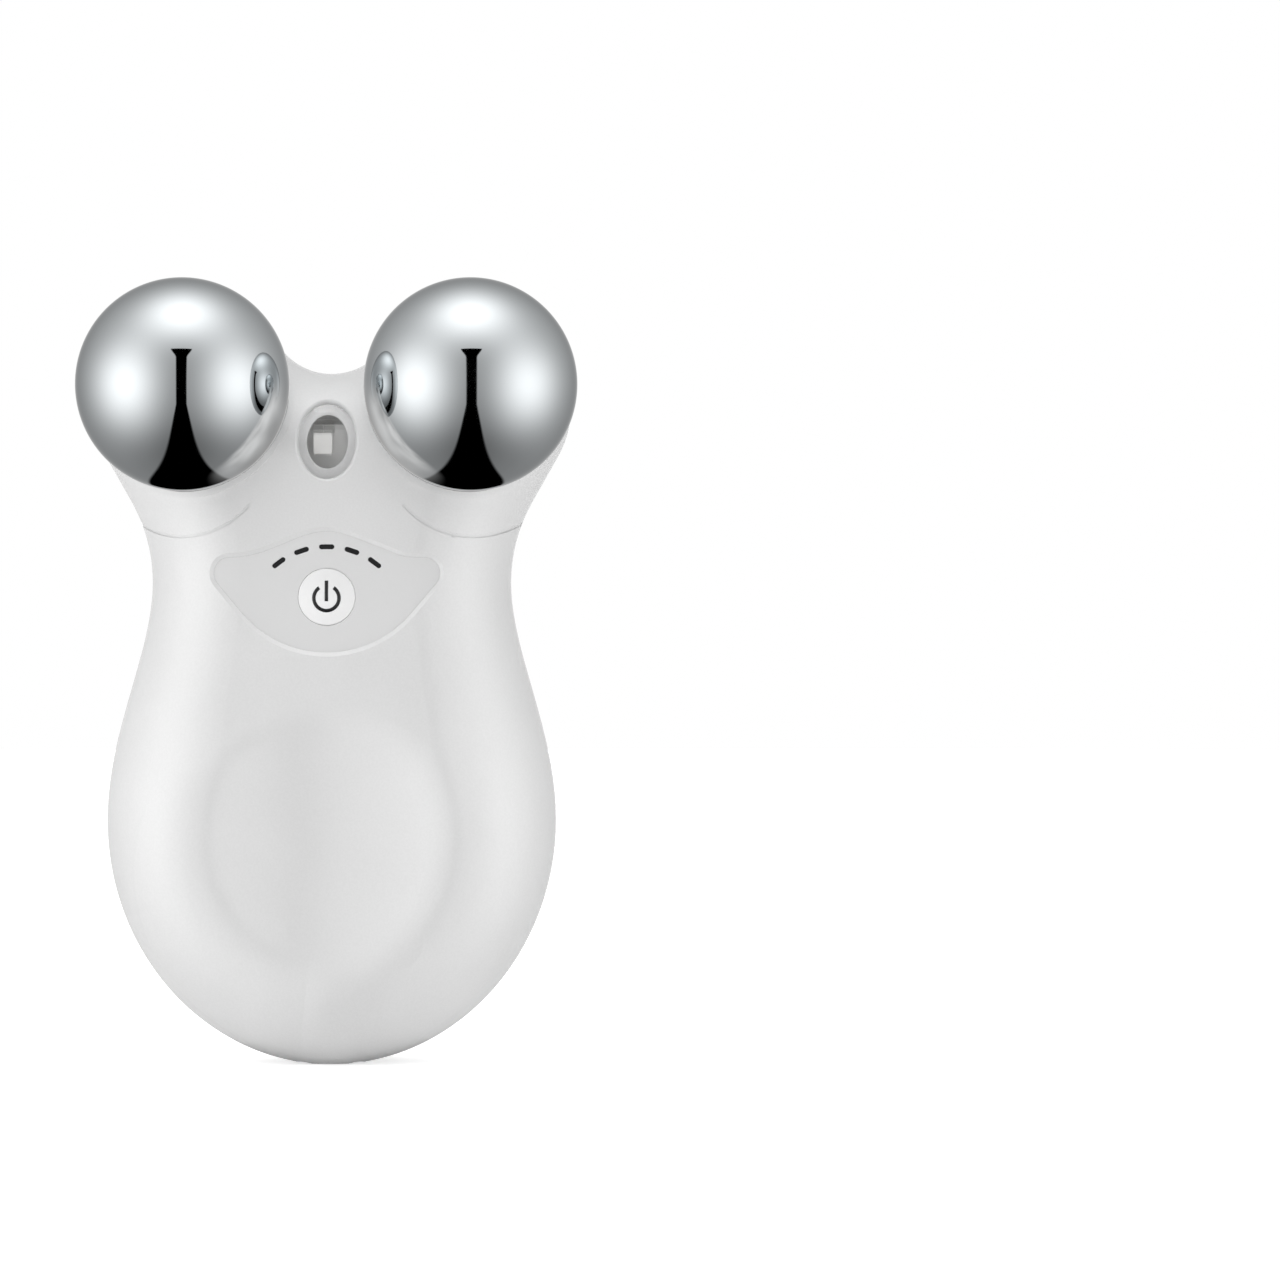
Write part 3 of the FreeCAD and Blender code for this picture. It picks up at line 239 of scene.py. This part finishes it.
# %% Window finish
def clear_plastic():
    """Clear acrylic, thinned by its alpha so that light reaches the board."""
    material, tree, shader = new_finish("clear_window", Transmission_Weight=1.0, IOR=1.49, Alpha=0.2)
    shader.inputs["Base Color"].default_value = (0.97, 0.975, 0.98, 1)
    rough = spread(tree, noise(tree, 2 * MM, 3.0), 0.01, 0.05)
    tree.links.new(rough, shader.inputs["Roughness"])
    return material


finishes["clear_window"] = clear_plastic()
print("window finish ready")

# %% [markdown]
# ## Dressing the nodes
# Each imported node arrives with a slot named for its material, and the finish of that name goes in.
# Only the balls are left visible to mirror rays; the reason comes with the card that paints the head's
# reflection further down.

# %% Dress the imported nodes
for node in nodes.values():
    slot_name = node.data.materials[0].name.split(".")[0]
    node.data.materials[0] = finishes[slot_name]
for name in nodes.keys() - {"left_ball", "right_ball"}:
    nodes[name].visible_glossy = False
print("dressed:", len(nodes), "nodes")

# %% [markdown]
# ## The power symbol
# The symbol on the button is printed, so it is a film a few hundredths of a millimetre thick that
# follows the dome. A small rectangle spun round the button's axis makes the open ring, a thin bar makes
# the stroke, and then every corner is let down onto the sphere of which the dome is a part.


# %% Print the power symbol
SYMBOL_RADIUS = 1.59 * MM
SYMBOL_STROKE = 0.45 * MM
SYMBOL_OPENING = 70.0
SYMBOL_DROP = 0.15 * MM
BAR_TOP = 2.2 * MM
BAR_LOW = -0.4 * MM
FILM = 0.02 * MM
BUTTON_RADIUS = 3.6 * MM
DOME_RISE = 0.7 * MM
ARC_STEPS = 48
BAR_STEPS = 8


def slab(bm, x0, x1, z0, z1):
    """A box of the film's thickness whose front is at y = -FILM."""
    made = bmesh.ops.create_cube(bm, size=1.0)["verts"]
    bmesh.ops.scale(bm, verts=made, vec=(x1 - x0, FILM, z1 - z0))
    bmesh.ops.translate(bm, verts=made, vec=((x0 + x1) / 2, -FILM / 2, (z0 + z1) / 2))
    return made


def open_ring(bm):
    """The ring, from one side of its opening round to the other."""
    start = math.radians(SYMBOL_OPENING / 2)
    half = SYMBOL_STROKE / 2
    profile = [(SYMBOL_RADIUS - half, 0), (SYMBOL_RADIUS + half, 0),
               (SYMBOL_RADIUS + half, -FILM), (SYMBOL_RADIUS - half, -FILM)]
    corners = [bm.verts.new((r * math.sin(start), y, r * math.cos(start))) for r, y in profile]
    face = bm.faces.new(corners)
    turn = 2 * math.pi - 2 * start
    bmesh.ops.spin(bm, geom=[face], cent=(0, 0, 0), axis=(0, 1, 0), angle=turn, steps=ARC_STEPS)


def power_symbol():
    """The ring and the stroke, let down onto the dome of the button."""
    low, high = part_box("power_button")
    middle = Vector(((low.x + high.x) / 2, low.y, (low.z + high.z) / 2))
    dome_radius = (BUTTON_RADIUS ** 2 + DOME_RISE ** 2) / (2 * DOME_RISE)
    bm = bmesh.new()
    open_ring(bm)
    bar = slab(bm, -SYMBOL_STROKE / 2, SYMBOL_STROKE / 2, BAR_LOW, BAR_TOP)
    long_edges = {edge for vert in bar for edge in vert.link_edges if edge.calc_length() > BAR_TOP}
    bmesh.ops.subdivide_edges(bm, edges=list(long_edges), cuts=BAR_STEPS)
    for vert in bm.verts:
        vert.co.z -= SYMBOL_DROP
        away = vert.co.x ** 2 + vert.co.z ** 2
        vert.co.y += dome_radius - math.sqrt(dome_radius ** 2 - away)
        vert.co += middle
    bmesh.ops.recalc_face_normals(bm, faces=bm.faces)
    return finished("power_symbol", bm, finishes["dark_lens"])


symbol = power_symbol()
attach(symbol, "button")
symbol.visible_glossy = False
print("symbol faces:", len(symbol.data.polygons))

# %% [markdown]
# ## The light tent
# Chrome shows its whole surroundings, so the surroundings are part of the picture. The balls in the
# photograph show three soft lamps, left, right and above, on a grey cloth that is brighter at the
# back, and one dark slit through which the camera looks. A large sphere round the object plays the
# tent: its glow is written as soft spots plus the cloth, with the slit left dark. A fourth spot,
# straight behind, is what the plate on the back mirrors. Lamps that look right in chrome are too
# strong for white plastic, so each spot has a share for matt surfaces, and a few fill spots light only
# those. The camera does not see the tent; it sees the white background instead.

# %% Build the light tent
TENT_RADIUS = 3.0
TENT_TURN = 3.3
CLOTH_GLOW = 0.10
CLOTH_HIGH = 0.2
LOW_CLOTH_GLOW = 0.065
CLOTH_LOW = -0.8
BACK_SHARE = 4.2
BACK_START = -0.5
SPOTS = [
    # bearing from the front, height above level, strength, tightness, share that lights matt surfaces
    (-63.0, 0.0, 1.38, 4.0, 0.75),
    (63.0, 0.0, 1.25, 4.0, 0.6),
    (0.0, 79.0, 1.41, 5.9, 1.0),
    (180.0, 0.0, 0.45, 14.0, 0.0),
]
FILL_SPOTS = [
    # bearing from the front, height above level, strength, tightness
    (0.0, 50.0, 0.95, 10.0),
    (-95.0, 5.0, 0.8, 5.0),
    (-150.0, 25.0, 0.35, 3.0),
    (150.0, 25.0, 0.35, 3.0),
]
SLIT_HALF_W = 0.085
SLIT_SPREAD = 0.245
SLIT_SLOPE = 0.12
SLIT_FLARE = 0.10
SLIT_SOFT = 0.05
SLIT_TOP = 0.60
SLIT_HOOD = 0.15
SLIT_END_BACK = 0.446
SLIT_END_UP = 0.895
SLIT_END = 0.176


def bearing(azimuth, height):
    """The direction of a lamp, from its bearing and its height in degrees."""
    a, h = math.radians(azimuth), math.radians(height)
    return Vector((math.sin(a) * math.cos(h), -math.cos(a) * math.cos(h), math.sin(h)))


def soft_spot(tree, direction, azimuth, height, strength, tightness):
    """strength times e to the power of tightness times (cosine of the angle to the lamp minus 1)."""
    made = add(tree, "ShaderNodeVectorMath", operation="DOT_PRODUCT")
    made.inputs[1].default_value = bearing(azimuth, height)
    tree.links.new(direction, made.inputs[0])
    away = calc(tree, "SUBTRACT", made.outputs["Value"], 1.0)
    fall = calc(tree, "EXPONENT", calc(tree, "MULTIPLY", away, tightness), 0.0)
    return calc(tree, "MULTIPLY", fall, strength)


def smooth(tree, value, low, high, first, last):
    """A smooth step from first to last while the value runs from low to high."""
    ends = {"To Min": first, "To Max": last}
    made = add(tree, "ShaderNodeMapRange", ends, interpolation_type="SMOOTHSTEP")
    for key, limit in (("Value", value), ("From Min", low), ("From Max", high)):
        if isinstance(limit, (int, float)):
            made.inputs[key].default_value = limit
        else:
            tree.links.new(limit, made.inputs[key])
    return made.outputs["Result"]


def outside_slit(tree, x, y, z):
    """0 inside the dark slit and 1 outside: it is narrow in front and flares on its way down and back."""
    drop = calc(tree, "MULTIPLY", z, -1.0)
    growth = calc(tree, "ADD", calc(tree, "MULTIPLY", y, SLIT_FLARE), SLIT_SLOPE)
    slope = calc(tree, "ADD", calc(tree, "MULTIPLY", y, growth), SLIT_SPREAD)
    half = calc(tree, "MAXIMUM", calc(tree, "MULTIPLY", drop, slope), SLIT_HALF_W)
    hood = smooth(tree, z, SLIT_TOP - SLIT_HOOD, SLIT_TOP, 0.0, SLIT_HALF_W)
    half = calc(tree, "ADD", hood, half)
    soft = calc(tree, "MAXIMUM", calc(tree, "MULTIPLY", drop, SLIT_SOFT), SLIT_SOFT / 2)
    beside = smooth(tree, calc(tree, "ABSOLUTE", x, 0.0), half, calc(tree, "ADD", half, soft), 0.0, 1.0)
    back = calc(tree, "MULTIPLY", y, SLIT_END_BACK)
    height = calc(tree, "ADD", back, calc(tree, "MULTIPLY", z, SLIT_END_UP))
    above = calc(tree, "GREATER_THAN", height, SLIT_END)
    return calc(tree, "MAXIMUM", beside, above)


def tent_finish():
    """The cloth and the lamps as one glow, with the slit cut out of it."""
    material = bpy.data.materials.new("light_tent")
    material.use_nodes = True
    tree = material.node_tree
    tree.nodes.clear()
    place = add(tree, "ShaderNodeTexCoord")
    unit = add(tree, "ShaderNodeVectorMath", operation="NORMALIZE")
    tree.links.new(place.outputs["Object"], unit.inputs[0])
    direction = unit.outputs["Vector"]
    parts = add(tree, "ShaderNodeSeparateXYZ")
    tree.links.new(direction, parts.inputs["Vector"])
    x, y, z = (parts.outputs[axis] for axis in "XYZ")
    cloth = add(tree, "ShaderNodeMapRange", {"From Min": CLOTH_LOW, "From Max": CLOTH_HIGH,
                                             "To Min": LOW_CLOTH_GLOW, "To Max": CLOTH_GLOW})
    tree.links.new(z, cloth.inputs["Value"])
    back = smooth(tree, y, BACK_START, 1.0, 1.0, BACK_SHARE)
    glow = calc(tree, "MULTIPLY", cloth.outputs["Result"], back)
    matt = add(tree, "ShaderNodeLightPath").outputs["Is Diffuse Ray"]
    for *spot, share in SPOTS:
        kept = calc(tree, "ADD", calc(tree, "MULTIPLY", matt, share - 1), 1.0)
        glow = calc(tree, "ADD", glow, calc(tree, "MULTIPLY", soft_spot(tree, direction, *spot), kept))
    for spot in FILL_SPOTS:
        glow = calc(tree, "ADD", glow, calc(tree, "MULTIPLY", soft_spot(tree, direction, *spot), matt))
    glow = calc(tree, "MULTIPLY", glow, outside_slit(tree, x, y, z))
    emission = add(tree, "ShaderNodeEmission")
    tree.links.new(glow, emission.inputs["Strength"])
    output = add(tree, "ShaderNodeOutputMaterial")
    tree.links.new(emission.outputs["Emission"], output.inputs["Surface"])
    return material


bm = bmesh.new()
bmesh.ops.create_uvsphere(bm, u_segments=48, v_segments=24, radius=TENT_RADIUS)
tent = finished("light_tent", bm, tent_finish())
tent.rotation_euler.z = math.radians(TENT_TURN)
tent.visible_camera = False
tent.visible_shadow = False
print("tent radius:", TENT_RADIUS)

# %% [markdown]
# ## What the balls see of the head: a painted reflection
# Next to the window the balls mirror the white head between them, but not the arms right under them,
# where the photograph shows the black slit down to the rim. So the imported pieces are hidden from
# mirror rays, and an oval glowing card just in front of the head stands in for it: its pale front is a
# painted reflection of the head. Its back is clear and its edge fades out, it throws no shadow, and
# only mirror rays see its pale front.

# %% Build the card with the painted head reflection
CARD_HALF_W = 15.0 * MM
CARD_HALF_H = 14.5 * MM
CARD_Z = 43.5 * MM
CARD_Y = -13.2 * MM
# The card's glow, colour and clouds make a painted reflection of the head in the balls.
CARD_GLOW = 0.70
CARD_FADE = 0.45
CARD_CLOUDS = 7 * MM
CARD_DRIFT = 0.25
CARD_COLOUR = (1.0, 0.975, 0.96, 1)


def reflection_card_finish():
    """Painted reflection of the head: pale on the front, clear on the back and fading to clear from
    CARD_FADE of its size to its edge.
    """
    material = bpy.data.materials.new("head_reflection_card")
    material.use_nodes = True
    tree = material.node_tree
    tree.nodes.clear()
    clouds = noise(tree, CARD_CLOUDS, 1.0)
    glow = spread(tree, clouds, (1 - CARD_DRIFT) * CARD_GLOW, (1 + CARD_DRIFT) * CARD_GLOW)
    pale = add(tree, "ShaderNodeEmission", {"Color": CARD_COLOUR})
    tree.links.new(glow, pale.inputs["Strength"])
    clear = add(tree, "ShaderNodeBsdfTransparent")
    place = add(tree, "ShaderNodeTexCoord")
    centred = add(tree, "ShaderNodeMapping", vector_type="TEXTURE")
    centred.inputs["Location"].default_value = (0, CARD_Y, CARD_Z)
    centred.inputs["Scale"].default_value = (CARD_HALF_W, 1, CARD_HALF_H)
    tree.links.new(place.outputs["Object"], centred.inputs["Vector"])
    length = add(tree, "ShaderNodeVectorMath", operation="LENGTH")
    tree.links.new(centred.outputs["Vector"], length.inputs[0])
    faded = smooth(tree, length.outputs["Value"], CARD_FADE, 1.0, 0.0, 1.0)
    side = add(tree, "ShaderNodeNewGeometry")
    mixed = add(tree, "ShaderNodeMixShader")
    tree.links.new(calc(tree, "MAXIMUM", faded, side.outputs["Backfacing"]), mixed.inputs[0])
    tree.links.new(pale.outputs["Emission"], mixed.inputs[1])
    tree.links.new(clear.outputs["BSDF"], mixed.inputs[2])
    output = add(tree, "ShaderNodeOutputMaterial")
    tree.links.new(mixed.outputs["Shader"], output.inputs["Surface"])
    return material


# Painted reflection: the glowing card that the balls mirror in place of the head.
bm = bmesh.new()
bmesh.ops.create_circle(bm, cap_ends=True, segments=48, radius=1.0)
bmesh.ops.rotate(bm, verts=bm.verts, matrix=Matrix.Rotation(math.radians(90), 3, "X"))
bmesh.ops.scale(bm, verts=bm.verts, vec=(CARD_HALF_W, 1.0, CARD_HALF_H))
bmesh.ops.translate(bm, verts=bm.verts, vec=(0, CARD_Y, CARD_Z))
card = finished("head_reflection_card", bm, reflection_card_finish())
card.visible_camera = False
card.visible_diffuse = False
card.visible_shadow = False
card.visible_transmission = False
print("card faces the camera:", card.data.polygons[0].normal.y < 0)

# %% [markdown]
# ## Floor and background
# The floor is a plain white disc just under the tail and keeps the object's shadow. A little glow of
# its own, with some more for the camera alone, lifts it to the white of the world behind it without
# more light on the object.

# %% Floor and background
FLOOR_RADIUS = 2.0
FLOOR_LIFT = 0.20
FLOOR_GAP = 0.05 * MM
CAMERA_LIFT = 0.28
WHITE = (1, 1, 1, 1)
floor_finish = moulded("floor_white", (0.93, 0.93, 0.93), 0.9, 5 * MM, 0.01 * MM, 0.005,
                       Emission_Color=WHITE)
tree = floor_finish.node_tree
rays = add(tree, "ShaderNodeLightPath")
seen = calc(tree, "MULTIPLY", rays.outputs["Is Camera Ray"], CAMERA_LIFT)
lift = calc(tree, "ADD", seen, FLOOR_LIFT)
tree.links.new(lift, tree.nodes["Principled BSDF"].inputs["Emission Strength"])
bm = bmesh.new()
bmesh.ops.create_circle(bm, cap_ends=True, segments=64, radius=FLOOR_RADIUS)
bmesh.ops.translate(bm, verts=bm.verts, vec=(0, 0, cad_low.z - FLOOR_GAP))
floor = finished("floor", bm, floor_finish)
floor.visible_glossy = False

world = bpy.data.worlds.new("white_background")
world.use_nodes = True
background = world.node_tree.nodes["Background"]
background.inputs["Color"].default_value = WHITE
background.inputs["Strength"].default_value = 1.0
bpy.context.scene.world = world
print("floor radius:", FLOOR_RADIUS)

# %% [markdown]
# ## The camera
# The camera stands where the photograph's did: level, far enough away for a long lens, and a little to
# the right, since the object is on the left of the picture. The Standard view shows colours as written.

# %% Camera
CAMERA_DISTANCE = 0.70
CAMERA_X = 0.0396
CAMERA_Z = 0.0231
CAMERA_LENS = 153.0
SENSOR_WIDTH = 36.0
lens = bpy.data.cameras.new("camera")
lens.lens = CAMERA_LENS
lens.sensor_width = SENSOR_WIDTH
lens.clip_start = 0.01
lens.clip_end = 20.0
camera = bpy.data.objects.new("camera", lens)
camera.location = (CAMERA_X, -CAMERA_DISTANCE, CAMERA_Z)
camera.rotation_euler = (math.radians(90), 0, 0)
bpy.context.scene.collection.objects.link(camera)
bpy.context.scene.camera = camera
bpy.context.scene.view_settings.view_transform = "Standard"
print("camera lens:", lens.lens)
